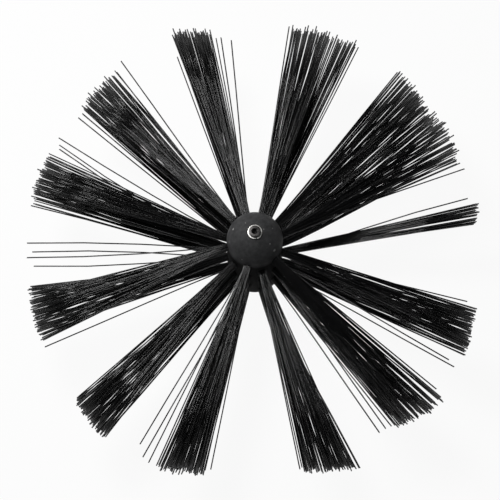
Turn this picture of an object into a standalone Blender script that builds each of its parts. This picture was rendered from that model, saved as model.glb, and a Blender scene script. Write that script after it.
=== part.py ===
# Chimney sweep brush: a round brush head that screws onto a set of flue rods.
# The brush axis is Z, with the domed nose up. Z is zero at the rear end of the rod coupling.

import math

import bmesh
import bpy
from mathutils import Matrix, Vector

# Driving dimensions, in metres
BRUSH_DIAMETER = 0.420
FIT_GAP = 0.0003
OVERRUN = 0.002
MERGE_DISTANCE = 0.00001

# Hub: a plastic barrel with a domed nose
HUB_DIAMETER = 0.0506
BARREL_LENGTH = 0.088
DOME_HEIGHT = 0.0253
REAR_EDGE_RADIUS = 0.003
SCREW_HOLE_DIAMETER = 0.009
SEAT_DEPTH = 0.0014
SEAT_CLEARANCE = 0.0006
POCKET_DEPTH = 0.026

# Tuft holes: six rows of six, each row turned half a step from the last
ROWS = 6
TUFTS_PER_ROW = 6
ROW_PITCH = 0.0150
FIRST_ROW_BELOW_DOME = 0.0005
FIRST_AZIMUTH_DEG = 15.0
TUFT_HOLE_DIAMETER = 0.0074
TUFT_HOLE_DEPTH = 0.011

# Tufts: folded roots packed into a plug, and the strands that fan out of it
STRAND_WIDTH = 0.0015
PLUG_SINK = 0.0008
STRAND_GRIP = 0.001
INNER_STRANDS = 3
OUTER_STRANDS = 7
INNER_RING_SHARE = 0.265
OUTER_RING_SHARE = 0.66
RING_TURN_SHARE = 0.25
TUFT_SPREAD_DEG = 4.0
TUFT_RISE_DEG = 1.3
ROW_FLARE_SHARE = 0.5
TIP_LIFT = 0.016
TIP_UNEVEN_SHARE = 0.03

# How far each tuft has been pushed round from its hole, in degrees, anticlockwise from above.
# One line for each of the twelve azimuths, in steps of 30 degrees, from front tuft to rear tuft.
TUFT_TURNS_DEG = (
    (12.0, 14.0, -4.0),
    (0.5, 0.5, 0.5),
    (1.5, 1.0, -7.5),
    (1.5, 1.5, 1.5),
    (1.0, 1.0, 1.0),
    (-2.5, -2.5, -2.5),
    (1.5, 1.5, 1.5),
    (3.0, 3.0, 3.0),
    (-3.5, -3.5, -3.5),
    (4.0, 4.0, 4.0),
    (-2.5, -2.5, -2.5),
    (-10.0, -10.0, -10.0),
)

# Each tuft is modelled pointing this way, then turned about the brush's axis to its hole
MODEL_AZIMUTH_DEG = 180.0

# Staples: flat wire that pins each folded tuft to the floor of its hole
STAPLE_HEIGHT = 0.0022
STAPLE_THICKNESS = 0.0005
STAPLE_GRIP = 0.0004

# Nose screw: M8, small low head, hexagon socket, with a wider split spring washer under it
SCREW_DIAMETER = 0.008
SCREW_LENGTH = 0.100
SCREW_TIP_CHAMFER = 0.001
HEAD_DIAMETER = 0.0106
HEAD_HEIGHT = 0.0018
HEAD_CHAMFER = 0.0004
SOCKET_ACROSS_FLATS = 0.005
SOCKET_DEPTH = 0.003
WASHER_DIAMETER = 0.0130
WASHER_THICKNESS = 0.002
WASHER_SPLIT = 0.0009
WASHER_SPLIT_DEG = -52.0

# Rod coupling: hexagon bar, tapped M12 for the rod and M8 for the nose screw
COUPLING_STANDOFF = 0.024
COUPLING_ACROSS_FLATS = 0.019
COUPLING_FACE_DIAMETER = 0.018
ROD_BORE_DIAMETER = 0.0102
ROD_BORE_DEPTH = 0.021
ROD_MOUTH_DIAMETER = 0.0126
CHAMFER_ANGLE_DEG = 30.0
DRILL_POINT_DEG = 31.0

# Facets round each kind of turned shape
HUB_FACETS = 48
SMALL_FACETS = 24
HOLE_FACETS = 12
PLUG_FACETS = 8
DOME_STEPS = 7
EDGE_STEPS = 2

# Heights and radii that follow from the sizes above
HUB_RADIUS = HUB_DIAMETER / 2
HUB_REAR_Z = COUPLING_STANDOFF
DOME_BASE_Z = HUB_REAR_Z + BARREL_LENGTH
NOSE_Z = DOME_BASE_Z + DOME_HEIGHT
SEAT_Z = NOSE_Z - SEAT_DEPTH
WASHER_Z = SEAT_Z + FIT_GAP
HEAD_Z = WASHER_Z + WASHER_THICKNESS + FIT_GAP
POCKET_TOP_Z = HUB_REAR_Z + POCKET_DEPTH
COUPLING_TOP_Z = POCKET_TOP_Z - FIT_GAP
FIRST_ROW_Z = DOME_BASE_Z - FIRST_ROW_BELOW_DOME
MIDDLE_ROW_Z = FIRST_ROW_Z - ROW_PITCH * (ROWS - 1) / 2
HOLE_FLOOR_RADIUS = HUB_RADIUS - TUFT_HOLE_DEPTH
PLUG_RADIUS = TUFT_HOLE_DIAMETER / 2 - FIT_GAP


def clear_scene():
    for obj in list(bpy.data.objects):
        bpy.data.objects.remove(obj, do_unlink=True)


def new_collection(name):
    collection = bpy.data.collections.new(name)
    bpy.context.scene.collection.children.link(collection)
    return collection


def new_material(name, colour, roughness, metallic=0.0):
    material = bpy.data.materials.new(name)
    material.use_nodes = True
    material.diffuse_color = (*colour, 1.0)
    shader = material.node_tree.nodes["Principled BSDF"]
    shader.inputs["Base Color"].default_value = (*colour, 1.0)
    shader.inputs["Roughness"].default_value = roughness
    shader.inputs["Metallic"].default_value = metallic
    return material


def add_object(name, mesh, collection, material=None):
    obj = bpy.data.objects.new(name, mesh)
    collection.objects.link(obj)
    if material:
        mesh.materials.append(material)
    return obj


def object_from_bmesh(name, bm, collection, material=None):
    mesh = bpy.data.meshes.new(name)
    bm.to_mesh(mesh)
    bm.free()
    return add_object(name, mesh, collection, material)


def turned(name, outline, facets, collection, material=None, ring=False):
    """An outline of (radius, height) points, run down its outer side, turned about Z."""
    mesh = bpy.data.meshes.new(name)
    points = [(radius, 0.0, height) for radius, height in outline]
    edges = [(i, i + 1) for i in range(len(points) - 1)]
    if ring:
        edges.append((len(points) - 1, 0))
    mesh.from_pydata(points, edges, [])
    obj = add_object(name, mesh, collection, material)
    screw = obj.modifiers.new("turn", "SCREW")
    screw.steps = facets
    screw.render_steps = facets
    screw.use_merge_vertices = True
    screw.merge_threshold = MERGE_DISTANCE
    screw.use_smooth_shade = False
    return obj


def prism(name, sides, radius, low, high, collection, turn_deg=0.0, material=None):
    """An upright prism between two heights, with its corners at the given radius."""
    bm = bmesh.new()
    place = Matrix.Translation((0.0, 0.0, (low + high) / 2))
    turn = Matrix.Rotation(math.radians(turn_deg), 4, "Z")
    bmesh.ops.create_cone(
        bm,
        cap_ends=True,
        segments=sides,
        radius1=radius,
        radius2=radius,
        depth=high - low,
        matrix=place @ turn,
    )
    return object_from_bmesh(name, bm, collection, material)


def boolean(obj, operation, other):
    modifier = obj.modifiers.new(other.name, "BOOLEAN")
    modifier.operation = operation
    modifier.solver = "EXACT"
    modifier.object = other


def hide_helpers(collection):
    for obj in collection.objects:
        obj.hide_render = True
        obj.display_type = "WIRE"


def hub_radius_at(height):
    """Radius of the hub's skin on its barrel or its dome."""
    above = max(0.0, height - DOME_BASE_Z)
    return HUB_RADIUS * math.sqrt(1.0 - (above / DOME_HEIGHT) ** 2)


def tuft_places():
    """Row, place in the row, azimuth in degrees, height and turn of every tuft."""
    places = []
    step = 360.0 / TUFTS_PER_ROW
    for row in range(ROWS):
        stagger = row % 2
        height = FIRST_ROW_Z - row * ROW_PITCH
        for place in range(TUFTS_PER_ROW):
            azimuth = FIRST_AZIMUTH_DEG + (place + stagger / 2) * step
            turns = TUFT_TURNS_DEG[(2 * place + stagger) % len(TUFT_TURNS_DEG)]
            turn = turns[min(row // 2, len(turns) - 1)]
            places.append((row, place, azimuth, height, turn))
    return places


def radial_frame(azimuth_deg, radius, height):
    """Local Z runs outwards along a tuft hole, local X runs round the hub and local Y down it."""
    azimuth = math.radians(azimuth_deg)
    outward = Vector((math.cos(azimuth), math.sin(azimuth), 0.0))
    around = Vector((-math.sin(azimuth), math.cos(azimuth), 0.0))
    down = outward.cross(around)
    frame = Matrix((around, down, outward)).transposed().to_4x4()
    frame.translation = outward * radius + Vector((0.0, 0.0, height))
    return frame


def hub_outline():
    """Half section of the hub, from the nose down to the rear face."""
    outline = []
    for i in range(DOME_STEPS + 1):
        angle = math.radians(90.0 * (1.0 - i / DOME_STEPS))
        outline.append(
            (HUB_RADIUS * math.cos(angle), DOME_BASE_Z + DOME_HEIGHT * math.sin(angle))
        )
    outline[0] = (0.0, NOSE_Z)
    for i in range(EDGE_STEPS + 1):
        angle = math.radians(90.0 * i / EDGE_STEPS)
        inset = REAR_EDGE_RADIUS * (1.0 - math.cos(angle))
        rise = REAR_EDGE_RADIUS * (1.0 - math.sin(angle))
        outline.append((HUB_RADIUS - inset, HUB_REAR_Z + rise))
    outline.append((0.0, HUB_REAR_Z))
    return outline


def hole_cutter(cutters):
    """All the blind tuft holes, as one cutter."""
    bm = bmesh.new()
    depth = TUFT_HOLE_DEPTH + OVERRUN
    for _, _, azimuth, height, _ in tuft_places():
        bmesh.ops.create_cone(
            bm,
            cap_ends=True,
            segments=HOLE_FACETS,
            radius1=TUFT_HOLE_DIAMETER / 2,
            radius2=TUFT_HOLE_DIAMETER / 2,
            depth=depth,
            matrix=radial_frame(azimuth, HOLE_FLOOR_RADIUS + depth / 2, height),
        )
    return object_from_bmesh("tuft_hole_cutter", bm, cutters)


def make_hub(parts, cutters, material):
    hub = turned("hub_body", hub_outline(), HUB_FACETS, parts, material)
    pocket_flats = COUPLING_ACROSS_FLATS + 2 * FIT_GAP
    pocket = prism(
        "coupling_pocket_cutter",
        6,
        pocket_flats / math.sqrt(3.0),
        HUB_REAR_Z - OVERRUN,
        POCKET_TOP_Z,
        cutters,
    )
    bore = prism(
        "screw_hole_cutter",
        SMALL_FACETS,
        SCREW_HOLE_DIAMETER / 2,
        HUB_REAR_Z,
        NOSE_Z,
        cutters,
    )
    seat = prism(
        "washer_seat_cutter",
        SMALL_FACETS,
        WASHER_DIAMETER / 2 + SEAT_CLEARANCE,
        SEAT_Z,
        NOSE_Z + OVERRUN,
        cutters,
    )
    for cutter in (hole_cutter(cutters), pocket, bore, seat):
        boolean(hub, "DIFFERENCE", cutter)
    return hub


def make_nose_screw(parts, cutters, material):
    head_top = HEAD_Z + HEAD_HEIGHT
    tip = HEAD_Z - SCREW_LENGTH
    head_radius = HEAD_DIAMETER / 2
    shank_radius = SCREW_DIAMETER / 2
    outline = [
        (0.0, head_top),
        (head_radius - HEAD_CHAMFER, head_top),
        (head_radius, head_top - HEAD_CHAMFER),
        (head_radius, HEAD_Z),
        (shank_radius, HEAD_Z),
        (shank_radius, tip + SCREW_TIP_CHAMFER),
        (shank_radius - SCREW_TIP_CHAMFER, tip),
        (0.0, tip),
    ]
    screw = turned("nose_screw", outline, SMALL_FACETS, parts, material)
    socket = prism(
        "hexagon_socket_cutter",
        6,
        SOCKET_ACROSS_FLATS / math.sqrt(3.0),
        head_top - SOCKET_DEPTH,
        head_top + OVERRUN,
        cutters,
    )
    boolean(screw, "DIFFERENCE", socket)
    return screw


def make_spring_washer(parts, cutters, material):
    outer = WASHER_DIAMETER / 2
    inner = SCREW_DIAMETER / 2 + FIT_GAP
    top = WASHER_Z + WASHER_THICKNESS
    outline = [(outer, top), (outer, WASHER_Z), (inner, WASHER_Z), (inner, top)]
    washer = turned("spring_washer", outline, SMALL_FACETS, parts, material, ring=True)
    bm = bmesh.new()
    length = outer - inner + 2 * OVERRUN
    middle = Vector(((outer + inner) / 2, 0.0, (WASHER_Z + top) / 2))
    size = Vector((length, WASHER_SPLIT, WASHER_THICKNESS + 2 * OVERRUN))
    turn = Matrix.Rotation(math.radians(WASHER_SPLIT_DEG), 4, "Z")
    place = turn @ Matrix.Translation(middle) @ Matrix.Diagonal((*size, 1.0))
    bmesh.ops.create_cube(bm, size=1.0, matrix=place)
    boolean(washer, "DIFFERENCE", object_from_bmesh("washer_split_cutter", bm, cutters))
    return washer


def make_rod_coupling(parts, cutters, material):
    corner = COUPLING_ACROSS_FLATS / math.sqrt(3.0)
    coupling = prism("rod_coupling", 6, corner, 0.0, COUPLING_TOP_Z, parts, 0.0, material)
    face = COUPLING_FACE_DIAMETER / 2
    wide = corner + OVERRUN
    chamfer = (wide - face) * math.tan(math.radians(CHAMFER_ANGLE_DEG))
    envelope = turned(
        "coupling_chamfer",
        [
            (0.0, COUPLING_TOP_Z),
            (face, COUPLING_TOP_Z),
            (wide, COUPLING_TOP_Z - chamfer),
            (wide, chamfer),
            (face, 0.0),
            (0.0, 0.0),
        ],
        SMALL_FACETS,
        cutters,
    )
    screw_radius = SCREW_DIAMETER / 2 + FIT_GAP
    bore_radius = ROD_BORE_DIAMETER / 2
    mouth_radius = ROD_MOUTH_DIAMETER / 2
    point = (bore_radius - screw_radius) * math.tan(math.radians(DRILL_POINT_DEG))
    bore = turned(
        "coupling_bore_cutter",
        [
            (0.0, COUPLING_TOP_Z + OVERRUN),
            (screw_radius, COUPLING_TOP_Z + OVERRUN),
            (screw_radius, ROD_BORE_DEPTH + point),
            (bore_radius, ROD_BORE_DEPTH),
            (bore_radius, mouth_radius - bore_radius),
            (mouth_radius + OVERRUN, -OVERRUN),
            (0.0, -OVERRUN),
        ],
        SMALL_FACETS,
        cutters,
    )
    boolean(coupling, "INTERSECT", envelope)
    boolean(coupling, "DIFFERENCE", bore)
    return coupling


def strand_roots():
    """Places of the strands across a tuft, as shares of the plug's radius."""
    roots = []
    for count, share in ((INNER_STRANDS, INNER_RING_SHARE), (OUTER_STRANDS, OUTER_RING_SHARE)):
        for i in range(count):
            angle = 2.0 * math.pi * (i + RING_TURN_SHARE) / count
            roots.append((share * math.cos(angle), share * math.sin(angle), angle))
    return roots


def add_strand(bm, frame, across, along, angle, length, tip):
    """A three-sided strand: straight up its hole, then straight out to its tip."""
    offset = Matrix.Translation((across, along, length / 2))
    cone = bmesh.ops.create_cone(
        bm,
        cap_ends=True,
        segments=3,
        radius1=STRAND_WIDTH / math.sqrt(3.0),
        radius2=STRAND_WIDTH / math.sqrt(3.0),
        depth=length,
        matrix=frame @ offset @ Matrix.Rotation(angle - math.pi / 2, 4, "Z"),
    )
    outward = frame.to_3x3() @ Vector((0.0, 0.0, 1.0))
    faces = {face for vert in cone["verts"] for face in vert.link_faces}
    end = max(faces, key=lambda face: face.calc_center_median().dot(outward))
    shift = tip - end.calc_center_median()
    moved = bmesh.ops.extrude_discrete_faces(bm, faces=[end])["faces"][0]
    bmesh.ops.translate(bm, verts=list(moved.verts), vec=shift)


def add_staple(bm, height, floor_radius):
    """The staple on edge across the floor of its hole, reaching up into the fold."""
    low = HOLE_FLOOR_RADIUS + FIT_GAP
    high = floor_radius + STAPLE_GRIP
    width = 2 * PLUG_RADIUS - STAPLE_THICKNESS
    size = Matrix.Diagonal((STAPLE_THICKNESS, width, high - low, 1.0))
    place = radial_frame(MODEL_AZIMUTH_DEG, (low + high) / 2, height)
    bmesh.ops.create_cube(bm, size=1.0, matrix=place @ size)


def make_tuft(place, parts, cutters, material):
    """A plug of folded roots in its hole, with its staple and its fan of strands."""
    row, number, azimuth, height, turn = place
    face_radius = hub_radius_at(height + TUFT_HOLE_DIAMETER / 2) - PLUG_SINK
    floor_radius = HOLE_FLOOR_RADIUS + FIT_GAP + STAPLE_HEIGHT
    name = f"tuft_row_{row + 1}_{number + 1}"
    bm = bmesh.new()
    bmesh.ops.create_cone(
        bm,
        cap_ends=True,
        segments=PLUG_FACETS,
        radius1=PLUG_RADIUS,
        radius2=PLUG_RADIUS,
        depth=face_radius - floor_radius,
        matrix=radial_frame(MODEL_AZIMUTH_DEG, (face_radius + floor_radius) / 2, height),
    )
    tuft = object_from_bmesh(name, bm, parts, material)
    root_radius = face_radius - STRAND_GRIP
    length = HUB_RADIUS + FIT_GAP - root_radius
    frame = radial_frame(MODEL_AZIMUTH_DEG, root_radius, height)
    reach = BRUSH_DIAMETER / 2
    tip_height = MIDDLE_ROW_Z + TIP_LIFT + ROW_FLARE_SHARE * (height - MIDDLE_ROW_Z)
    rise = reach * math.tan(math.radians(TUFT_RISE_DEG))
    roots = strand_roots()
    bm = bmesh.new()
    for i, (across, along, angle) in enumerate(roots):
        uneven = TIP_UNEVEN_SHARE * ((5 * i + 3 * number + row) % len(roots)) / len(roots)
        tip_radius = reach * (1.0 - uneven)
        swing = TUFT_SPREAD_DEG * across / OUTER_RING_SHARE
        tip_azimuth = math.radians(MODEL_AZIMUTH_DEG + turn + swing)
        tip = Vector(
            (
                tip_radius * math.cos(tip_azimuth),
                tip_radius * math.sin(tip_azimuth),
                tip_height - rise * along / OUTER_RING_SHARE,
            )
        )
        add_strand(
            bm, frame, across * PLUG_RADIUS, along * PLUG_RADIUS, angle, length, tip
        )
    add_staple(bm, height, floor_radius)
    strands = object_from_bmesh(f"{name}_strands", bm, cutters)
    boolean(tuft, "UNION", strands)
    for obj in (tuft, strands):
        obj.rotation_euler.z = math.radians(azimuth - MODEL_AZIMUTH_DEG)
    return tuft


def main():
    clear_scene()
    parts = new_collection("chimney_sweep_brush")
    cutters = new_collection("cutters")
    plastic = new_material("hub_plastic", (0.036, 0.036, 0.038), 0.5)
    bristle = new_material("bristle_plastic", (0.012, 0.012, 0.014), 0.38)
    steel = new_material("plated_steel", (0.62, 0.61, 0.59), 0.3, 1.0)
    make_hub(parts, cutters, plastic)
    make_nose_screw(parts, cutters, steel)
    make_spring_washer(parts, cutters, steel)
    make_rod_coupling(parts, cutters, steel)
    for place in tuft_places():
        make_tuft(place, parts, cutters, bristle)
    hide_helpers(cutters)


main()
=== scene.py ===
import math
import random

import bmesh
import bpy
import numpy as np
from mathutils import Matrix, Vector


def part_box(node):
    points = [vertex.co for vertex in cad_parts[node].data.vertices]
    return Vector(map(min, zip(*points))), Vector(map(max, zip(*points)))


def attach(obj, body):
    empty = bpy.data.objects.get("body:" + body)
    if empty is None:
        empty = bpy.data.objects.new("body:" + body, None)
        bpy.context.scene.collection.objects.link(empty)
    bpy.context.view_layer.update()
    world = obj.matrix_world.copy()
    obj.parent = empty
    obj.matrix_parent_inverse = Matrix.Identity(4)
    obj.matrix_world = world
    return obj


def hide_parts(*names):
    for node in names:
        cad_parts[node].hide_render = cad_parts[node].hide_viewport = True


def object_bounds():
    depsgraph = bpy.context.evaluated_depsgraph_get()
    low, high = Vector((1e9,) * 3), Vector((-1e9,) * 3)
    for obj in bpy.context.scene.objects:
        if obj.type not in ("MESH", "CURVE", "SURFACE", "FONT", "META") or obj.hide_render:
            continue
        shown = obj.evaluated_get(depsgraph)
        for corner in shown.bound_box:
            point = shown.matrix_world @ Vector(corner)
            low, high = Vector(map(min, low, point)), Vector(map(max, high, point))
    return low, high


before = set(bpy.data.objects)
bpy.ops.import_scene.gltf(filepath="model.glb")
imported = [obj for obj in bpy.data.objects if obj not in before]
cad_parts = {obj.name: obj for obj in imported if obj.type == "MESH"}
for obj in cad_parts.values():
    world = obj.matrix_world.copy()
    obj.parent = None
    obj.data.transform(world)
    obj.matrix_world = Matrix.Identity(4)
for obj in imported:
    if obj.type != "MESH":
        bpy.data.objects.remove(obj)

# Chimney sweep brush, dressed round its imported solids. Metres, nose up, Z is the brush axis.
cadLow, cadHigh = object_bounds()
hubLow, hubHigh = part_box("hub_body")
screwLow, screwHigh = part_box("nose_screw")
washerLow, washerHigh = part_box("spring_washer")
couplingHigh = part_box("rod_coupling")[1]
millimetre = 0.001
mergeDistance = 0.000001
endNormal = 0.9
barrelLength = 0.088
domeBase = hubLow.z + barrelLength
print("frame loaded:", len(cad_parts), "nodes")


# Small helpers for edit mode

def clearSelection():
    if bpy.context.mode != "OBJECT":
        bpy.ops.object.mode_set(mode="OBJECT")
    bpy.ops.object.select_all(action="DESELECT")


def newestPiece(name):
    piece = bpy.context.active_object
    piece.name = name
    piece.data.name = name
    return piece


def makeActive(piece):
    clearSelection()
    piece.select_set(True)
    bpy.context.view_layer.objects.active = piece


def bakePlace(piece):
    # the piece's place goes into its mesh, so that its object sits at the origin
    makeActive(piece)
    bpy.ops.object.transform_apply(location=True, rotation=True, scale=True)


def editFaces(piece, wanted):
    # opens the piece in edit mode with just the wanted faces selected
    makeActive(piece)
    bpy.ops.object.mode_set(mode="EDIT")
    bpy.ops.mesh.select_mode(type="FACE")
    bpy.ops.mesh.select_all(action="DESELECT")
    shape = bmesh.from_edit_mesh(piece.data)
    for face in shape.faces:
        face.select_set(wanted(face))
    bmesh.update_edit_mesh(piece.data)


def facesUp(face):
    return face.normal.z > endNormal


def facesDown(face):
    return face.normal.z < -endNormal


def growRings(rings):
    # carries the selected end face from one (radius, height) to the next
    for (radius, height), (nextRadius, nextHeight) in zip(rings, rings[1:]):
        rise = (0, 0, nextHeight - height)
        bpy.ops.mesh.extrude_region_move(TRANSFORM_OT_translate={"value": rise})
        share = nextRadius / radius
        bpy.ops.transform.resize(value=(share, share, 1), center_override=(0, 0, nextHeight))


def turnPiece(name, rings, sides):
    # a turned piece: a disc grown ring by ring from its lower end
    clearSelection()
    radius, height = rings[0]
    bpy.ops.mesh.primitive_circle_add(
        vertices=sides, radius=radius, fill_type="NGON", location=(0, 0, height))
    piece = newestPiece(name)
    bakePlace(piece)
    editFaces(piece, lambda face: True)
    growRings(rings)
    bpy.ops.mesh.select_all(action="SELECT")
    bpy.ops.mesh.normals_make_consistent(inside=False)
    bpy.ops.object.mode_set(mode="OBJECT")
    return piece


def applyModifier(piece, kind, **settings):
    makeActive(piece)
    modifier = piece.modifiers.new(kind.lower(), kind)
    for name, value in settings.items():
        setattr(modifier, name, value)
    bpy.ops.object.modifier_apply(modifier=modifier.name)


def cutWith(piece, tool, operation="DIFFERENCE"):
    applyModifier(piece, "BOOLEAN", operation=operation, solver="EXACT", object=tool)
    bpy.data.objects.remove(tool)


def joinInto(piece, others):
    makeActive(piece)
    for other in others:
        other.select_set(True)
    bpy.ops.object.join()
    return piece


def smoothPiece(piece, angle):
    makeActive(piece)
    bpy.ops.object.shade_smooth_by_angle(angle=math.radians(angle))


def arcRings(centreRadius, centreHeight, radius, rise, fromAngle, toAngle, steps):
    # rings along part of an ellipse, angles in degrees from the horizontal
    rings = []
    for i in range(steps + 1):
        angle = math.radians(fromAngle + (toAngle - fromAngle) * i / steps)
        rings.append((centreRadius + radius * math.cos(angle), centreHeight + rise * math.sin(angle)))
    return rings


def radialFrame(azimuth, height):
    # local Z points outwards along the tuft hole, local X runs round the hub
    angle = math.radians(azimuth)
    outward = Vector((math.cos(angle), math.sin(angle), 0))
    around = Vector((-math.sin(angle), math.cos(angle), 0))
    place = Matrix((around, outward.cross(around), outward)).transposed().to_4x4()
    place.translation = (0, 0, height)
    return place


def finishPiece(piece, slot, material, *nodes):
    piece.data.materials.clear()
    piece.data.materials.append(material)
    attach(piece, "root")
    if nodes:
        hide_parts(*nodes)


# Shader helpers

def addNode(tree, kind, x, y, values=None, **settings):
    node = tree.nodes.new(kind)
    node.location = (x, y)
    for name, value in settings.items():
        setattr(node, name, value)
    for socket, value in (values or {}).items():
        node.inputs[socket].default_value = value
    return node


def newGroup(name, inputs, outputs):
    # a socket whose label ends in Colour carries a colour, and any other one a number
    group = bpy.data.node_groups.new(name, "ShaderNodeTree")
    for direction, labels in (("INPUT", inputs), ("OUTPUT", outputs)):
        for label in labels:
            kind = "NodeSocketColor" if label.endswith("Colour") else "NodeSocketFloat"
            group.interface.new_socket(name=label, in_out=direction, socket_type=kind)
    return group, group.nodes.new("NodeGroupInput"), group.nodes.new("NodeGroupOutput")


def makeMottleGroup():
    # cloudy change of tone and gloss, as moulded plastic and plated steel have it
    group, start, end = newGroup(
        "mottledSurface",
        inputs=("Colour", "Mottle", "Scale", "Roughness", "Spread", "Grain Scale"),
        outputs=("Colour", "Roughness", "Height"),
    )
    links = group.links
    place = addNode(group, "ShaderNodeTexCoord", -900, 0)
    clouds = addNode(group, "ShaderNodeTexNoise", -700, 100, {"Detail": 5.0, "Roughness": 0.6})
    grain = addNode(group, "ShaderNodeTexNoise", -700, -200, {"Detail": 3.0, "Roughness": 0.7})
    links.new(place.outputs["Object"], clouds.inputs["Vector"])
    links.new(place.outputs["Object"], grain.inputs["Vector"])
    links.new(start.outputs["Scale"], clouds.inputs["Scale"])
    links.new(start.outputs["Grain Scale"], grain.inputs["Scale"])
    centred = addNode(group, "ShaderNodeMath", -500, 100, {1: 0.5}, operation="SUBTRACT")
    links.new(clouds.outputs["Fac"], centred.inputs[0])
    tone = addNode(group, "ShaderNodeMath", -320, 160, {2: 1.0}, operation="MULTIPLY_ADD")
    links.new(centred.outputs[0], tone.inputs[0])
    links.new(start.outputs["Mottle"], tone.inputs[1])
    coloured = addNode(group, "ShaderNodeVectorMath", -120, 200, operation="SCALE")
    links.new(start.outputs["Colour"], coloured.inputs[0])
    links.new(tone.outputs[0], coloured.inputs["Scale"])
    links.new(coloured.outputs[0], end.inputs["Colour"])
    gloss = addNode(group, "ShaderNodeMath", -320, 0, operation="MULTIPLY_ADD")
    links.new(centred.outputs[0], gloss.inputs[0])
    links.new(start.outputs["Spread"], gloss.inputs[1])
    links.new(start.outputs["Roughness"], gloss.inputs[2])
    links.new(gloss.outputs[0], end.inputs["Roughness"])
    links.new(grain.outputs["Fac"], end.inputs["Height"])
    return group


def makeSpeckGroup():
    # scattered pale specks, as dust or small nicks leave on a dark surface
    group, start, end = newGroup(
        "scatteredSpecks",
        inputs=("Colour", "Speck Colour", "Scale", "Size", "Share"),
        outputs=("Colour",),
    )
    links = group.links
    place = addNode(group, "ShaderNodeTexCoord", -900, 0)
    cells = addNode(group, "ShaderNodeTexVoronoi", -700, 0)
    links.new(place.outputs["Object"], cells.inputs["Vector"])
    links.new(start.outputs["Scale"], cells.inputs["Scale"])
    near = addNode(group, "ShaderNodeMath", -500, 80, operation="LESS_THAN")
    links.new(cells.outputs["Distance"], near.inputs[0])
    links.new(start.outputs["Size"], near.inputs[1])
    split = addNode(group, "ShaderNodeSeparateColor", -500, -100)
    links.new(cells.outputs["Color"], split.inputs[0])
    chosen = addNode(group, "ShaderNodeMath", -300, -100, operation="LESS_THAN")
    links.new(split.outputs[0], chosen.inputs[0])
    links.new(start.outputs["Share"], chosen.inputs[1])
    both = addNode(group, "ShaderNodeMath", -120, 0, operation="MULTIPLY")
    links.new(near.outputs[0], both.inputs[0])
    links.new(chosen.outputs[0], both.inputs[1])
    mix = addNode(group, "ShaderNodeMix", 60, 100, data_type="RGBA")
    links.new(both.outputs[0], mix.inputs["Factor"])
    links.new(start.outputs["Colour"], mix.inputs["A"])
    links.new(start.outputs["Speck Colour"], mix.inputs["B"])
    links.new(mix.outputs["Result"], end.inputs["Colour"])
    return group


mottledSurface = makeMottleGroup()
scatteredSpecks = makeSpeckGroup()


def newMaterial(name, colour, roughness, **constants):
    material = bpy.data.materials.new(name)
    material.use_nodes = True
    material.diffuse_color = (*colour, 1)
    shader = material.node_tree.nodes["Principled BSDF"]
    shader.inputs["Base Color"].default_value = (*colour, 1)
    shader.inputs["Roughness"].default_value = roughness
    for socket, value in constants.items():
        shader.inputs[socket].default_value = value
    return material, material.node_tree, shader


def addMottle(tree, shader, look):
    # puts the mottled surface before a shader, and returns the node that carries its colour
    mottle = addNode(tree, "ShaderNodeGroup", -700, 200, node_tree=mottledSurface)
    for socket in ("Mottle", "Scale", "Roughness", "Spread", "Grain Scale"):
        mottle.inputs[socket].default_value = look[socket]
    mottle.inputs["Colour"].default_value = (*look["Colour"], 1)
    bump = addNode(tree, "ShaderNodeBump", -300, -200)
    bump.inputs["Strength"].default_value = look["bump"]
    bump.inputs["Distance"].default_value = look["bumpDistance"]
    tree.links.new(mottle.outputs["Height"], bump.inputs["Height"])
    tree.links.new(bump.outputs["Normal"], shader.inputs["Normal"])
    tree.links.new(mottle.outputs["Roughness"], shader.inputs["Roughness"])
    tree.links.new(mottle.outputs["Colour"], shader.inputs["Base Color"])
    return mottle


# Satin black plastic of the hub
hubLook = {
    "Colour": (0.041, 0.0412, 0.0423),
    "gloss": 0.1,
    "Mottle": 1.6,
    "Scale": 230.0,
    "Roughness": 0.55,
    "Spread": 0.25,
    "Grain Scale": 1800.0,
    "bump": 0.35,
    "bumpDistance": 0.0002,
    "specks": {"Speck Colour": (0.16, 0.16, 0.155, 1), "Scale": 260.0, "Size": 0.16, "Share": 0.05},
    # painted shade on the barrel between the tufts: the share of colour kept there, its roughness, and
    # the heights over the dome's base where the painted shade starts and is full
    "barrelShade": 0.05,
    "barrelRoughness": 0.95,
    "shadeFrom": (0.006, -0.004),
    "scuffColour": (0.5, 0.5, 0.49, 1),
    "scuffGrain": 900.0,
}
# Pale scuffs on the dome: x, y and height over the dome's base, and radius, in millimetres
hubScuffs = (
    (-19.2, 5.8, 15.4, 1.3),
    (13.4, -9.1, 19.4, 0.8),
    (17.4, -13.1, 12.8, 1.7),
    (-8.3, 9.4, 22.0, 0.5),
)


def addScuffs(tree, place):
    # a ragged pale patch round each scuff's place, all in one mask
    ragged = addNode(tree, "ShaderNodeTexNoise", -900, -700, {"Detail": 3.0})
    ragged.inputs["Scale"].default_value = hubLook["scuffGrain"]
    tree.links.new(place, ragged.inputs["Vector"])
    mask = None
    for i, (x, y, height, radius) in enumerate(hubScuffs):
        line = -700 - 200 * i
        centre = (x * millimetre, y * millimetre, domeBase + height * millimetre)
        away = addNode(tree, "ShaderNodeVectorMath", -700, line, {1: centre}, operation="DISTANCE")
        tree.links.new(place, away.inputs[0])
        near = addNode(tree, "ShaderNodeMapRange", -520, line)
        near.inputs["From Min"].default_value = radius * millimetre
        near.inputs["From Max"].default_value = radius * millimetre / 2
        tree.links.new(away.outputs["Value"], near.inputs["Value"])
        if mask is None:
            mask = near.outputs["Result"]
        else:
            both = addNode(tree, "ShaderNodeMath", -340, line, operation="MAXIMUM")
            tree.links.new(mask, both.inputs[0])
            tree.links.new(near.outputs["Result"], both.inputs[1])
            mask = both.outputs[0]
    worn = addNode(tree, "ShaderNodeMath", -160, -700, operation="MULTIPLY")
    tree.links.new(mask, worn.inputs[0])
    tree.links.new(ragged.outputs["Fac"], worn.inputs[1])
    return worn.outputs[0]


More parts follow.
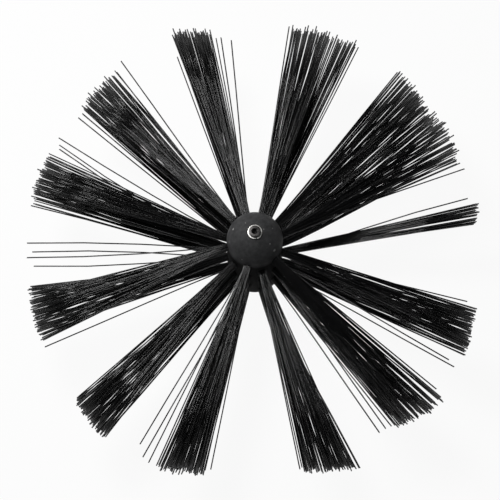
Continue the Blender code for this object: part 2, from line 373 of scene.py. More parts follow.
def makeHubPlastic():
    material, tree, shader = newMaterial("hubPlastic", hubLook["Colour"], hubLook["Roughness"])
    shader.inputs["Specular IOR Level"].default_value = hubLook["gloss"]
    mottle = addMottle(tree, shader, hubLook)
    specks = addNode(tree, "ShaderNodeGroup", -450, 300, node_tree=scatteredSpecks)
    for socket, value in hubLook["specks"].items():
        specks.inputs[socket].default_value = value
    tree.links.new(mottle.outputs["Colour"], specks.inputs["Colour"])
    # painted shade: from just above the dome's base down over the barrel between the tufts, the colour
    # is scaled darker as shade, and the surface is made duller
    place = addNode(tree, "ShaderNodeTexCoord", -900, -400)
    height = addNode(tree, "ShaderNodeSeparateXYZ", -720, -400)
    tree.links.new(place.outputs["Object"], height.inputs[0])
    shaded = addNode(tree, "ShaderNodeMapRange", -540, -400)
    shaded.inputs["From Min"].default_value = domeBase + hubLook["shadeFrom"][0]
    shaded.inputs["From Max"].default_value = domeBase + hubLook["shadeFrom"][1]
    tree.links.new(height.outputs["Z"], shaded.inputs["Value"])
    # painted shade: the colour is scaled from full down to the barrel's share below the dome's lower
    # edge
    barrelPaintedShade = addNode(tree, "ShaderNodeMapRange", -340, -400, {"To Min": 1.0})
    barrelPaintedShade.inputs["To Max"].default_value = hubLook["barrelShade"]
    tree.links.new(shaded.outputs["Result"], barrelPaintedShade.inputs["Value"])
    scuffed = addNode(tree, "ShaderNodeMix", -300, 300, {"B": hubLook["scuffColour"]}, data_type="RGBA")
    tree.links.new(addScuffs(tree, place.outputs["Object"]), scuffed.inputs["Factor"])
    tree.links.new(specks.outputs["Colour"], scuffed.inputs["A"])
    colour = addNode(tree, "ShaderNodeVectorMath", -140, 300, operation="SCALE")
    tree.links.new(scuffed.outputs["Result"], colour.inputs[0])
    tree.links.new(barrelPaintedShade.outputs["Result"], colour.inputs["Scale"])
    tree.links.new(colour.outputs[0], shader.inputs["Base Color"])
    dull = addNode(tree, "ShaderNodeMix", -140, 60, {"B": hubLook["barrelRoughness"]}, data_type="FLOAT")
    tree.links.new(shaded.outputs["Result"], dull.inputs["Factor"])
    tree.links.new(mottle.outputs["Roughness"], dull.inputs["A"])
    tree.links.new(dull.outputs["Result"], shader.inputs["Roughness"])
    return material


# Black bristle plastic, each bristle a little unlike the next
bristleLook = {
    "darkest": (0.0006, 0.0006, 0.0007, 1),
    "palest": (0.0025, 0.0026, 0.003, 1),
    "gloss": 0.36,
    "cutEnd": (0.05, 0.05, 0.052, 1),
    "smoothest": 0.1,
    "dullest": 0.26,
    "cutShare": 0.994,
    "stretch": (5, 90, 1),
}


def makeBristlePlastic():
    colour = bristleLook["darkest"][:3]
    material, tree, shader = newMaterial("bristlePlastic", colour, bristleLook["dullest"])
    shader.inputs["Specular IOR Level"].default_value = bristleLook["gloss"]
    tone = addNode(tree, "ShaderNodeAttribute", -1000, 200, attribute_name="bristleTone")
    along = addNode(tree, "ShaderNodeAttribute", -1000, -100, attribute_name="alongBristle")
    place = addNode(tree, "ShaderNodeCombineXYZ", -800, 0)
    tree.links.new(along.outputs["Fac"], place.inputs["X"])
    tree.links.new(tone.outputs["Fac"], place.inputs["Y"])
    stretched = addNode(tree, "ShaderNodeVectorMath", -640, 0, operation="MULTIPLY")
    stretched.inputs[1].default_value = bristleLook["stretch"]
    tree.links.new(place.outputs[0], stretched.inputs[0])
    patches = addNode(tree, "ShaderNodeTexNoise", -480, 0, {"Scale": 1.0, "Detail": 3.0})
    tree.links.new(stretched.outputs[0], patches.inputs["Vector"])
    blend = addNode(tree, "ShaderNodeMath", -300, 200, operation="MULTIPLY")
    tree.links.new(tone.outputs["Fac"], blend.inputs[0])
    tree.links.new(patches.outputs["Fac"], blend.inputs[1])
    toned = addNode(tree, "ShaderNodeMix", -120, 260, data_type="RGBA")
    toned.inputs["A"].default_value = bristleLook["darkest"]
    toned.inputs["B"].default_value = bristleLook["palest"]
    tree.links.new(blend.outputs[0], toned.inputs["Factor"])
    cut = addNode(tree, "ShaderNodeMath", -300, -150, operation="GREATER_THAN")
    cut.inputs[1].default_value = bristleLook["cutShare"]
    tree.links.new(along.outputs["Fac"], cut.inputs[0])
    ended = addNode(tree, "ShaderNodeMix", 60, 260, data_type="RGBA")
    ended.inputs["B"].default_value = bristleLook["cutEnd"]
    tree.links.new(cut.outputs[0], ended.inputs["Factor"])
    tree.links.new(toned.outputs["Result"], ended.inputs["A"])
    tree.links.new(ended.outputs["Result"], shader.inputs["Base Color"])
    gloss = addNode(tree, "ShaderNodeMapRange", -120, 0)
    gloss.inputs["To Min"].default_value = bristleLook["smoothest"]
    gloss.inputs["To Max"].default_value = bristleLook["dullest"]
    tree.links.new(patches.outputs["Fac"], gloss.inputs["Value"])
    tree.links.new(gloss.outputs["Result"], shader.inputs["Roughness"])
    return material


# Steel: bright zinc on the washer and coupling, blackened on the nose screw
zincLook = {
    "Colour": (0.4, 0.395, 0.38),
    "Mottle": 1.4,
    "Scale": 600.0,
    "Roughness": 0.4,
    "Spread": 0.3,
    "Grain Scale": 2500.0,
    "bump": 0.25,
    "bumpDistance": 0.0001,
}
blackenedLook = {
    "Colour": (0.05, 0.048, 0.047),
    "Mottle": 1.2,
    "Scale": 500.0,
    "Roughness": 0.33,
    "Spread": 0.3,
    "Grain Scale": 2500.0,
    "bump": 0.3,
    "bumpDistance": 0.0001,
}


def makeSteel(name, look):
    material, tree, shader = newMaterial(name, look["Colour"], look["Roughness"], Metallic=1.0)
    addMottle(tree, shader, look)
    return material


hubPlastic = makeHubPlastic()
bristlePlastic = makeBristlePlastic()
zincSteel = makeSteel("zincSteel", zincLook)
blackenedSteel = makeSteel("blackenedSteel", blackenedLook)
print("materials ready")


# Tuft rows, counted from the nose; each row is turned half a step from the last
rows = {
    "count": 6,
    "tufts": 6,
    "pitch": 0.015,
    "belowDome": 0.0005,
    "firstAzimuth": 15.0,
}

hub = {
    "sides": 160,
    "domeHeight": 0.0253,
    "rearRounding": 0.003,
    "seatClearance": 0.0006,
    "seatDepth": 0.0014,
    "rimRounding": 0.0003,
    "rimSoftening": (0.3, 0.1),
    "domeSteps": 26,
    "roundingSteps": 6,
    "smoothAngle": 30,
    "boreRadius": 0.0045,
    "pocketDepth": 0.026,
    "pocketGap": 0.0003,
    "pocketFlare": 0.0006,
    "holeRadius": 0.0037,
    "holeDepth": 0.011,
    "holeFlare": 0.0005,
    "holeSides": 28,
    "overrun": 0.002,
}
hubRadius = hubHigh.x
couplingFlats = couplingHigh.y * 2


def tuftPlaces():
    # node name, row, azimuth step, azimuth and height of every tuft
    places = []
    step = 360 / rows["tufts"]
    for row in range(rows["count"]):
        height = domeBase - rows["belowDome"] - row * rows["pitch"]
        for number in range(rows["tufts"]):
            azimuth = rows["firstAzimuth"] + (number + (row % 2) / 2) * step
            name = f"tuft_row_{row + 1}_{number + 1}"
            places.append((name, row, 2 * number + row % 2, azimuth, height))
    return places


def makeHoleCutters():
    # one drill shape with a flared mouth, copied to every hole
    clearSelection()
    floor = hubRadius - hub["holeDepth"]
    mouth = hubRadius - hub["holeFlare"]
    bpy.ops.mesh.primitive_cylinder_add(
        vertices=hub["holeSides"], radius=hub["holeRadius"], depth=mouth - floor,
        location=(0, 0, (mouth + floor) / 2))
    drill = newestPiece("tuftHoleCutter")
    bakePlace(drill)
    editFaces(drill, facesUp)
    flared = 2 * hub["holeFlare"]
    growRings([(hub["holeRadius"], mouth), (hub["holeRadius"] + flared, mouth + flared),
               (hub["holeRadius"] + flared, hubRadius + hub["overrun"])])
    bpy.ops.object.mode_set(mode="OBJECT")
    copies = []
    for _, _, _, azimuth, height in tuftPlaces():
        copy = drill.copy()
        copy.data = drill.data.copy()
        copy.data.transform(radialFrame(azimuth, height))
        bpy.context.scene.collection.objects.link(copy)
        copies.append(copy)
    bpy.data.objects.remove(drill)
    return joinInto(copies[0], copies[1:])


def makePocketCutter():
    # hexagonal pocket for the rod coupling, with a chamfered mouth
    clearSelection()
    flats = couplingFlats + 2 * hub["pocketGap"]
    corner = flats / math.sqrt(3)
    top = hubLow.z + hub["pocketDepth"]
    flare = hub["pocketFlare"]
    bpy.ops.mesh.primitive_cylinder_add(
        vertices=6, radius=corner, depth=top - hubLow.z - flare,
        location=(0, 0, (top + hubLow.z + flare) / 2), rotation=(0, 0, math.radians(30)))
    cutter = newestPiece("pocketCutter")
    bakePlace(cutter)
    editFaces(cutter, facesDown)
    growRings([(corner, hubLow.z + flare), (corner + 2 * flare, hubLow.z - flare)])
    bpy.ops.object.mode_set(mode="OBJECT")
    return cutter


def makeHub():
    radius = hubRadius
    rounding = hub["rearRounding"]
    seatRadius = washerHigh.x + hub["seatClearance"]
    seatHeight = domeBase + hub["domeHeight"] - hub["seatDepth"]
    rim = hub["rimRounding"]
    rimAngle = math.degrees(math.acos((seatRadius + rim) / radius))
    rimHeight = domeBase + hub["domeHeight"] * math.sin(math.radians(rimAngle))
    rimOut, rimDown = hub["rimSoftening"]
    rearRounded = hubLow.z + rounding
    rings = arcRings(radius - rounding, rearRounded, rounding, rounding, -90, 0, hub["roundingSteps"])
    rings += arcRings(0, domeBase, radius, hub["domeHeight"], 0, rimAngle, hub["domeSteps"])
    rings += [(seatRadius + rim * rimOut, rimHeight - rim * rimDown), (seatRadius, rimHeight - rim)]
    rings += [(seatRadius, seatHeight), (hub["boreRadius"], seatHeight)]
    rings += [(hub["boreRadius"], hubLow.z + hub["pocketDepth"] - hub["overrun"])]
    body = turnPiece("hubBody", rings, hub["sides"])
    cutWith(body, makePocketCutter())
    cutWith(body, makeHoleCutters())
    smoothPiece(body, hub["smoothAngle"])
    finishPiece(body, "hub_plastic", hubPlastic, "hub_body")


makeHub()
print("hub made")


# Nose screw with a small low head, and the split spring washer under it
noseScrew = {
    "sides": 72,
    "shankRadius": 0.004,
    "threadDepth": 0.0006,
    "threadPitch": 0.00125,
    "threadLength": 0.03,
    "tipChamfer": 0.001,
    "headHeight": 0.0018,
    "edge": 0.00035,
    "socketFlats": 0.005,
    "socketDepth": 0.003,
    "socketFlare": 0.00035,
    "socketTurn": 9.0,
    "coneShares": (0.8, 0.1, 0.35),
    "edgeSteps": 5,
    "threadSides": 40,
    "bareTurns": 2,
    "smoothAngle": 28,
}
# A thread's ridge: how far its base is sunk in the wall, of its depth, and how wide it is, of its pitch
threadRidge = {"sunkShare": 0.15, "widthShare": 0.94}


def windThread(name, wallRadius, crestRadius, pitch, low, turns, sides):
    # a triangular ridge wound up from one small triangle; its base lies in the wall
    clearSelection()
    bpy.ops.mesh.primitive_circle_add(vertices=3, radius=1, fill_type="NOTHING")
    ridge = newestPiece(name)
    base = wallRadius - threadRidge["sunkShare"] * (crestRadius - wallRadius)
    high = low + pitch * threadRidge["widthShare"]
    corners = [(base, 0, low), (crestRadius, 0, low + pitch / 2), (base, 0, high)]
    for vertex, corner in zip(ridge.data.vertices, corners):
        vertex.co = corner
    applyModifier(
        ridge, "SCREW", angle=math.tau, screw_offset=pitch, iterations=turns, steps=sides,
        render_steps=sides, use_merge_vertices=False, use_smooth_shade=False)
    editFaces(ridge, lambda face: True)
    bpy.ops.mesh.select_all(action="SELECT")
    bpy.ops.mesh.remove_doubles(threshold=mergeDistance)
    bpy.ops.mesh.fill_holes(sides=0)
    bpy.ops.mesh.normals_make_consistent(inside=False)
    bpy.ops.object.mode_set(mode="OBJECT")
    return ridge


def makeNoseScrew():
    top = screwHigh.z
    tip = screwLow.z
    headRadius = screwHigh.x
    shank = noseScrew["shankRadius"]
    core = shank - noseScrew["threadDepth"]
    under = top - noseScrew["headHeight"]
    threadTop = tip + noseScrew["threadLength"]
    edge = noseScrew["edge"]
    rings = [(shank - noseScrew["tipChamfer"], tip), (core, tip + noseScrew["tipChamfer"])]
    rings += [(core, threadTop), (shank, threadTop + edge), (shank, under)]
    rings += [(headRadius - edge / 2, under), (headRadius, under + edge / 2)]
    rings += arcRings(headRadius - edge, top - edge, edge, edge, 0, 90, noseScrew["edgeSteps"])
    screw = turnPiece("noseScrew", rings, noseScrew["sides"])
    clearSelection()
    corner = noseScrew["socketFlats"] / math.sqrt(3)
    depth = noseScrew["socketDepth"]
    flare = noseScrew["socketFlare"]
    bpy.ops.mesh.primitive_cylinder_add(
        vertices=6, radius=corner, depth=depth - flare, location=(0, 0, top - (depth + flare) / 2),
        rotation=(0, 0, math.radians(noseScrew["socketTurn"] - 30)))
    socket = newestPiece("socketCutter")
    bakePlace(socket)
    editFaces(socket, facesUp)
    growRings([(corner, top - flare), (corner + 2 * flare, top + flare)])
    # a drilled cone in the socket's floor
    editFaces(socket, facesDown)
    mouthShare, pointShare, depthShare = noseScrew["coneShares"]
    floor = top - depth
    growRings([(corner, floor), (corner * mouthShare, floor),
               (corner * pointShare, floor - corner * depthShare)])
    bpy.ops.object.mode_set(mode="OBJECT")
    cutWith(screw, socket)
    pitch = noseScrew["threadPitch"]
    turns = int(noseScrew["threadLength"] / pitch) - noseScrew["bareTurns"]
    threadLow = tip + noseScrew["tipChamfer"]
    thread = windThread("screwThread", core, shank, pitch, threadLow, turns, noseScrew["threadSides"])
    joinInto(screw, [thread])
    smoothPiece(screw, noseScrew["smoothAngle"])
    finishPiece(screw, "plated_steel", blackenedSteel, "nose_screw")


springWasher = {
    "innerRadius": 0.0043,
    "steps": 96,
    "splitAngle": -84.0,
    "splitWidth": 0.0009,
    "slant": 0.0022,
    "lift": 0.0005,
    "sprungOut": 0.0006,
    "sprungShare": 0.12,
    "edge": 0.00025,
    "edgeSegments": 3,
    "edgeAngle": 50,
    "smoothAngle": 30,
}


def makeSpringWasher():
    # a small square, spun almost all the way round, then one end lifted and both cut on the slant
    clearSelection()
    outer = washerHigh.x
    inner = springWasher["innerRadius"]
    thick = washerHigh.z - washerLow.z - springWasher["lift"] / 2
    middle = (outer + inner) / 2
    bpy.ops.mesh.primitive_plane_add(
        size=1, location=(middle, 0, washerLow.z + thick / 2), rotation=(math.pi / 2, 0, 0))
    washer = newestPiece("springWasher")
    washer.scale = (outer - inner, thick, 1)
    bakePlace(washer)
    gap = springWasher["splitWidth"] / middle
    editFaces(washer, lambda face: True)
    bpy.ops.mesh.spin(
        steps=springWasher["steps"], angle=math.tau - gap, center=(0, 0, 0), axis=(0, 0, 1))
    bpy.ops.mesh.select_all(action="SELECT")
    bpy.ops.mesh.remove_doubles(threshold=mergeDistance)
    bpy.ops.mesh.normals_make_consistent(inside=False)
    bpy.ops.object.mode_set(mode="OBJECT")
    # the spin ran clockwise from the split, so the first section belongs to the far end
    start = math.radians(springWasher["splitAngle"]) - gap / 2
    for vertex in washer.data.vertices:
        radius = math.hypot(vertex.co.x, vertex.co.y)
        turned = math.atan2(vertex.co.y, vertex.co.x) % math.tau
        if turned < gap / 2:
            turned += math.tau
        share = (turned - gap) / (math.tau - gap)
        slant = springWasher["slant"] * (radius - middle) / (outer - inner) / middle
        angle = start + turned + slant
        radius += springWasher["sprungOut"] * max(0, 1 - share / springWasher["sprungShare"]) ** 2
        vertex.co.x = radius * math.cos(angle)
        vertex.co.y = radius * math.sin(angle)
        vertex.co.z += springWasher["lift"] * max(0.5 - share, 0)
    applyModifier(
        washer, "BEVEL", width=springWasher["edge"], segments=springWasher["edgeSegments"],
        limit_method="ANGLE", angle_limit=math.radians(springWasher["edgeAngle"]))
    smoothPiece(washer, springWasher["smoothAngle"])
    finishPiece(washer, "plated_steel", zincSteel, "spring_washer")


makeNoseScrew()
makeSpringWasher()
print("nose screw and spring washer made")


# Rod coupling: hexagon bar with turned ends, tapped for the rod and bored through for the nose screw
rodCoupling = {
    "faceRadius": 0.009,
    "chamferAngle": 30.0,
    "boreRadius": 0.006,
    "boreDepth": 0.021,
    "threadRadius": 0.0051,
    "threadPitch": 0.00175,
    "mouthRadius": 0.0064,
    "screwRadius": 0.0043,
    "drillAngle": 31.0,
    "blankShare": 1.1,
    "sides": 72,
    "threadSides": 48,
    "smoothAngle": 28,
}


def makeRodCoupling():
    clearSelection()
    top = couplingHigh.z
    corner = couplingFlats / math.sqrt(3)
    face = rodCoupling["faceRadius"]
    bpy.ops.mesh.primitive_cylinder_add(
        vertices=6, radius=corner, depth=top, location=(0, 0, top / 2),
        rotation=(0, 0, math.radians(30)))
    coupling = newestPiece("rodCoupling")
    bakePlace(coupling)
    wide = corner * rodCoupling["blankShare"]
    slope = (wide - face) * math.tan(math.radians(rodCoupling["chamferAngle"]))
    rings = [(face, 0), (wide, slope), (wide, top - slope), (face, top)]
    cutWith(coupling, turnPiece("couplingBlank", rings, rodCoupling["sides"]), "INTERSECT")
    bore = rodCoupling["boreRadius"]
    small = rodCoupling["screwRadius"]
    mouth = rodCoupling["mouthRadius"]
    depth = rodCoupling["boreDepth"]
    point = (bore - small) * math.tan(math.radians(rodCoupling["drillAngle"]))
    rings = [(mouth + hub["overrun"], -hub["overrun"]), (mouth, 0), (bore, mouth - bore), (bore, depth)]
    rings += [(small, depth + point), (small, top + hub["overrun"])]
    cutWith(coupling, turnPiece("boreCutter", rings, rodCoupling["sides"]))
    pitch = rodCoupling["threadPitch"]
    turns = int((depth - 2 * pitch) / pitch)
    crest = rodCoupling["threadRadius"]
    thread = windThread("rodThread", bore, crest, pitch, pitch / 2, turns, rodCoupling["threadSides"])
    joinInto(coupling, [thread])
    smoothPiece(coupling, rodCoupling["smoothAngle"])
    finishPiece(coupling, "plated_steel", zincSteel, "rod_coupling")


makeRodCoupling()
print("rod coupling made")


# Bristles: one is modelled, then copied along a path of its own for each place in a tuft
bristle = {
    "radius": 0.0006,
    "sides": 6,
    "rootRadius": 0.0168,
    "stations": (0.0, 0.03, 0.09, 0.19, 0.34, 0.54, 0.77, 1.0),
    "rings": ((6, 0.0009), (11, 0.0019), (13, 0.00306)),
    "ringJitter": 0.3,
    "uneven": 0.022,
    "tipHeights": (-0.009, -0.016, -0.024),
    "heightSpread": 0.008,
    "straightShare": 0.1,
    "bendShare": 0.62,
    "restless": 0.0013,
    "mixing": 0.0008,
    "wander": 0.05,
    "cutSlant": 0.5,
    "seedsPerRow": 1000,
}

# How the tufts of each azimuth lie, given for the front, middle and rear one, and their strays.
# turn: degrees that the tips are pushed round from the hole; spread: half the fan in degrees;
# reach: millimetres from the brush's axis to the tips at the fan's clockwise and other edge;
# further: millimetres more of it.
# A stray has its level (0 front, 2 rear), turn, reach and its millimetres of bend round the hub.
fans = (
    {"turn": (13.0, 16.0, -6.0), "spread": (6.0, 6.8, 2.6), "reach": (204, 211),
     "strays": ((0, 5.3, 204, 0), (2, -1.4, 201, 5), (2, -7.0, 203, 0))},
    {"turn": (0.3, -1.2, -4.6), "spread": (5.9, 6.2, 5.5), "reach": (206, 216),
     "strays": ((0, 6.3, 212, 0), (2, -6.6, 203, 0))},
    {"turn": (0.6, 0.4, -7.6), "spread": (4.8, 4.8, 3.2), "reach": (218, 214),
     "further": (0, 0, 6),
     "strays": ((0, 6.3, 214, 0), (0, 5.4, 216, 0), (2, -11.4, 220, 0))},
    {"turn": (0.7, 1.3, 1.0), "spread": (4.4, 4.4, 4.4), "reach": (212, 222),
     "strays": ((0, -4.8, 203, 0), (1, -6.2, 206, 0), (1, -8.8, 202, 0), (2, 6.2, 201, 0))},
    {"turn": (-1.9, -0.5, 0.9), "spread": (5.6, 5.6, 5.2), "reach": (211, 210),
     "strays": ((0, -9.9, 216, 0), (2, 7.4, 207, 0))},
    {"turn": (-4.3, -2.7, -1.0), "spread": (5.2, 5.2, 5.0), "reach": (208, 209),
     "strays": ((0, -14.3, 206, 3), (1, -13.2, 204, 8), (1, -12.2, 202, 10), (1, 14.4, 206, -5),
                (2, 16.1, 202, -7))},
    {"turn": (4.6, 3.2, 1.0), "spread": (6.2, 6.2, 6.2), "reach": (208, 211),
     "strays": ((0, -11.2, 205, 5), (1, -9.4, 200, 7), (2, 11.2, 209, 0))},
    {"turn": (2.9, 2.5, 2.1), "spread": (5.5, 5.5, 5.5), "reach": (214, 221),
     "strays": ()},
    {"turn": (-2.9, -2.4, -2.0), "spread": (5.2, 5.2, 5.2), "reach": (220, 212),
     "strays": ((0, -13.7, 208, 0), (1, -11.9, 216, 0), (0, -9.9, 219, 0), (1, 4.3, 207, 0))},
    {"turn": (1.8, 3.2, 5.0), "spread": (5.6, 5.0, 4.6), "reach": (211, 222),
     "strays": ((0, -4.2, 208, 0), (0, -2.6, 211, 0))},
    {"turn": (-1.2, -2.2, -3.2), "spread": (5.9, 5.9, 5.5), "reach": (207, 220),
     "strays": ((0, 5.0, 208, 0), (2, -12.1, 202, 0), (1, -10.6, 203, 0))},
    {"turn": (-7.1, -7.6, -8.2), "spread": (5.3, 5.3, 5.3), "reach": (213, 207),
     "strays": ((0, -1.0, 197, 0), (2, -16.9, 209, 0), (1, -16.6, 202, 0))},
)


def modelBristle():
    # a six-sided length of bristle, one ring for each station, root end at zero
    clearSelection()
    bpy.ops.mesh.primitive_circle_add(
        vertices=bristle["sides"], radius=bristle["radius"], fill_type="NGON")
    master = newestPiece("bristleMaster")
    editFaces(master, lambda face: True)
    for _ in bristle["stations"]:
        bpy.ops.mesh.extrude_region_move(TRANSFORM_OT_translate={"value": (0, 0, 1)})
    bpy.ops.mesh.select_all(action="SELECT")
    bpy.ops.mesh.normals_make_consistent(inside=False)
    bpy.ops.object.mode_set(mode="OBJECT")
    bpy.ops.object.shade_smooth()
    return master


def bristlePath(place, root, tip, bow):
    # centre line through the hole, over its rim and out to the tip
    inner = place @ Vector((root.x, root.y, bristle["rootRadius"]))
    mouth = place @ Vector((root.x, root.y, hubRadius))
    outward = (mouth - inner).normalized()
    reach = (tip - mouth).length
    first = mouth + outward * reach * bristle["straightShare"]
    second = mouth.lerp(tip, bristle["bendShare"]) + bow
    points = [inner]
    for t in bristle["stations"]:
        s = 1 - t
        points.append(mouth * s ** 3 + first * 3 * s * s * t + second * 3 * s * t * t + tip * t ** 3)
    return points


def bendBristle(master, points, dice):
    # one more bristle, its rings set square to the path, its end cut a little askew
    copy = master.copy()
    copy.data = master.data.copy()
    bpy.context.scene.collection.objects.link(copy)
    slant = bristle["cutSlant"] * dice.uniform(-1, 1)
    turn = dice.uniform(0, math.tau)
    last = len(points) - 1
    for vertex in copy.data.vertices:
        ring = round(vertex.co.z)
        before = points[max(0, ring - 1)]
        after = points[min(last, ring + 1)]
        along = (after - before).normalized()
        side = along.cross(Vector((0, 0, 1))).normalized()
        up = side.cross(along)
        x = vertex.co.x * math.cos(turn) - vertex.co.y * math.sin(turn)
        y = vertex.co.x * math.sin(turn) + vertex.co.y * math.cos(turn)
        askew = slant * x if ring == last else 0
        vertex.co = points[ring] + side * x + up * y + along * askew
    return copy


def tipPoint(azimuth, turn, reach, height):
    heading = math.radians(azimuth + turn)
    return Vector((reach * math.cos(heading), reach * math.sin(heading), domeBase + height))


def tuftRoots(dice):
    # places of the bristles across the hole, ring by ring
    roots = []
    for count, ringRadius in bristle["rings"]:
        for i in range(count):
            angle = math.tau * (i + bristle["ringJitter"] * dice.random()) / count
            roots.append(Vector((ringRadius * math.cos(angle), ringRadius * math.sin(angle), 0)))
    return roots


def markBristles(tuft, master, tones):
    # each bristle's own tone, and how far along it a point lies, for the material to read
    ringHeights = np.array([vertex.co.z for vertex in master.data.vertices])
    tone = tuft.data.attributes.new("bristleTone", "FLOAT", "POINT")
    tone.data.foreach_set("value", np.repeat(tones, len(ringHeights)))
    along = tuft.data.attributes.new("alongBristle", "FLOAT", "POINT")
    along.data.foreach_set("value", np.tile(ringHeights / ringHeights.max(), len(tones)))


def makeTuft(master, name, row, step, azimuth, height):
    dice = random.Random(bristle["seedsPerRow"] * row + step)
    fan = fans[step]
    level = row // 2
    clockwiseReach, otherReach = fan["reach"]
    further = fan.get("further", (0, 0, 0))[level]
    tipHeight = bristle["tipHeights"][level]
    rootSpread = bristle["rings"][-1][1]
    place = radialFrame(azimuth, height)
    bristles = []
    roots = tuftRoots(dice)
    roots.sort(key=lambda root: root.x + bristle["mixing"] * dice.uniform(-1, 1))
    for number, root in enumerate(roots):
        across = (2 * number + 1) / len(roots) - 1 + bristle["wander"] * dice.uniform(-1, 1)
        below = root.y / rootSpread + bristle["wander"] * dice.uniform(-1, 1)
        edge = (across + 1) / 2
        reach = millimetre * (clockwiseReach + (otherReach - clockwiseReach) * edge + further)
        reach *= 1 - bristle["uneven"] * dice.random()
        turn = fan["turn"][level] + fan["spread"][level] * across
        tip = tipPoint(azimuth, turn, reach, tipHeight - bristle["heightSpread"] * below)
        bow = Vector([bristle["restless"] * dice.gauss(0, 1) for _ in range(3)])
        bristles.append(bendBristle(master, bristlePath(place, root, tip, bow), dice))
    for strayLevel, turn, reach, bend in fan["strays"]:
        if strayLevel == level:
            root = Vector((math.copysign(rootSpread, turn), -rootSpread / 2, 0))
            tip = tipPoint(azimuth, turn, reach * millimetre, tipHeight)
            bow = place.to_3x3() @ Vector((millimetre * bend, 0, 0))
            bristles.append(bendBristle(master, bristlePath(place, root, tip, bow), dice))
    tones = [dice.random() for _ in bristles]
    tuft = joinInto(bristles[0], bristles[1:])
    tuft.name = f"tuftRow{row + 1}Number{step // 2 + 1}"
    tuft.data.name = tuft.name
    markBristles(tuft, master, tones)
    finishPiece(tuft, "bristle_plastic", bristlePlastic, name)


bristleMaster = modelBristle()
for tuftPlace in tuftPlaces():
    makeTuft(bristleMaster, *tuftPlace)
bpy.data.objects.remove(bristleMaster)
print("tufts made")


# Floor, lamps, world and camera
stage = {
    "floorSize": 12.0,
    "floorGap": 0.0005,
    "floorColour": (0.9, 0.9, 0.9),
    "floorRoughness": 0.9,
    "glow": 0.93,
    "skyColour": (0.95, 0.975, 1.0, 1),
    "skyStrength": 0.06,
    "ceilingFrom": (0.1, 0.4),
}
lamps = (
    {"name": "keyLamp", "place": (-0.34, 0.3, 1.15), "aim": (0, 0, 0.1), "size": 0.36, "watts": 8},
    {"name": "sideLamp", "place": (-0.85, 0.75, 0.75), "aim": (0, 0, 0.1), "size": 0.3, "watts": 6},
    {"name": "lowLamp", "place": (-0.7, -0.7, 0.7), "aim": (0, 0, 0.1), "size": 0.15, "watts": 0.2},
)


def cameraRays(tree, x, y, mirrored=None):
    # 1 for what the camera sees straight, and for gloss and glass as far as the mask lets them
    path = addNode(tree, "ShaderNodeLightPath", x, y)
    bounced = addNode(tree, "ShaderNodeMath", x + 180, y, operation="MAXIMUM")
    tree.links.new(path.outputs["Is Glossy Ray"], bounced.inputs[0])
    tree.links.new(path.outputs["Is Transmission Ray"], bounced.inputs[1])
    masked = addNode(tree, "ShaderNodeMath", x + 360, y, {1: 1.0}, operation="MULTIPLY")
    tree.links.new(bounced.outputs[0], masked.inputs[0])
    if mirrored:
        tree.links.new(mirrored, masked.inputs[1])
    either = addNode(tree, "ShaderNodeMath", x + 540, y, operation="MAXIMUM")
    tree.links.new(path.outputs["Is Camera Ray"], either.inputs[0])
    tree.links.new(masked.outputs[0], either.inputs[1])
    return either.outputs[0]


def makeFloor():
    clearSelection()
    height = cadLow.z - stage["floorGap"]
    bpy.ops.mesh.primitive_plane_add(size=stage["floorSize"], location=(0, 0, height))
    floor = newestPiece("studioFloor")
    material, tree, shader = newMaterial("studioFloor", stage["floorColour"], stage["floorRoughness"])
    glow = addNode(tree, "ShaderNodeEmission", -100, -200, {"Color": (1, 1, 1, 1), "Strength": 1.0})
    mix = addNode(tree, "ShaderNodeMixShader", 300, 0)
    share = addNode(tree, "ShaderNodeMath", 100, 200, {1: stage["glow"]}, operation="MULTIPLY")
    tree.links.new(cameraRays(tree, -500, 300), share.inputs[0])
    tree.links.new(share.outputs[0], mix.inputs[0])
    tree.links.new(shader.outputs[0], mix.inputs[1])
    tree.links.new(glow.outputs[0], mix.inputs[2])
    tree.links.new(mix.outputs[0], tree.nodes["Material Output"].inputs["Surface"])
    floor.data.materials.append(material)


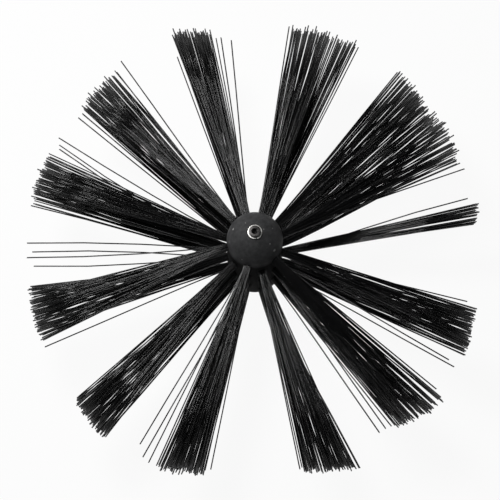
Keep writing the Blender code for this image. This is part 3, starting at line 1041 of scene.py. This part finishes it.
def makeWorld():
    world = bpy.data.worlds.new("studioWorld")
    bpy.context.scene.world = world
    world.use_nodes = True
    tree = world.node_tree
    sky = tree.nodes["Background"]
    sky.inputs["Color"].default_value = stage["skyColour"]
    sky.inputs["Strength"].default_value = stage["skyStrength"]
    white = addNode(tree, "ShaderNodeBackground", 0, -200, {"Color": (1, 1, 1, 1), "Strength": 1.0})
    mix = addNode(tree, "ShaderNodeMixShader", 250, 0)
    direction = addNode(tree, "ShaderNodeTexCoord", -900, 0)
    split = addNode(tree, "ShaderNodeSeparateXYZ", -720, 0)
    tree.links.new(direction.outputs["Generated"], split.inputs[0])
    low = addNode(tree, "ShaderNodeMapRange", -540, 0, {"To Min": 1.0, "To Max": 0.0})
    low.inputs["From Min"].default_value, low.inputs["From Max"].default_value = stage["ceilingFrom"]
    tree.links.new(split.outputs["Z"], low.inputs["Value"])
    tree.links.new(cameraRays(tree, -500, 300, low.outputs["Result"]), mix.inputs[0])
    tree.links.new(sky.outputs[0], mix.inputs[1])
    tree.links.new(white.outputs[0], mix.inputs[2])
    tree.links.new(mix.outputs[0], tree.nodes["World Output"].inputs["Surface"])


def makeLamps():
    for lamp in lamps:
        light = bpy.data.lights.new(lamp["name"], "AREA")
        light.shape = "DISK"
        light.size = lamp["size"]
        light.energy = lamp["watts"]
        holder = bpy.data.objects.new(lamp["name"], light)
        bpy.context.scene.collection.objects.link(holder)
        holder.location = lamp["place"]
        aim = Vector(lamp["aim"]) - Vector(lamp["place"])
        holder.rotation_euler = aim.to_track_quat("-Z", "Y").to_euler()


camera = {
    "distance": 1.5,
    "elevation": 73.6,
    "metresPerPixel": 0.000895,
    "pictureSize": 500,
    "domeBasePixel": (254.75, 240.3),
    "sensor": 36.0,
    "clipStart": 0.05,
}


def makeCamera():
    # the dome's base sits at its pixel of the photograph, seen from above and in front
    tilt = math.radians(camera["elevation"])
    back = Vector((0, -math.cos(tilt), math.sin(tilt)))
    right = Vector((1, 0, 0))
    up = back.cross(right)
    half = camera["pictureSize"] / 2
    scale = camera["metresPerPixel"]
    column, line = camera["domeBasePixel"]
    target = Vector((0, 0, domeBase)) + right * (half - column) * scale + up * (line - half) * scale
    view = bpy.data.cameras.new("photoCamera")
    view.sensor_width = camera["sensor"]
    view.lens = camera["sensor"] * camera["distance"] / (camera["pictureSize"] * scale)
    view.clip_start = camera["clipStart"]
    holder = bpy.data.objects.new("photoCamera", view)
    bpy.context.scene.collection.objects.link(holder)
    holder.location = target + back * camera["distance"]
    holder.rotation_euler = back.to_track_quat("Z", "Y").to_euler()
    bpy.context.scene.camera = holder


makeFloor()
makeWorld()
makeLamps()
makeCamera()
bpy.context.scene.view_settings.view_transform = "Standard"
print("stage ready")
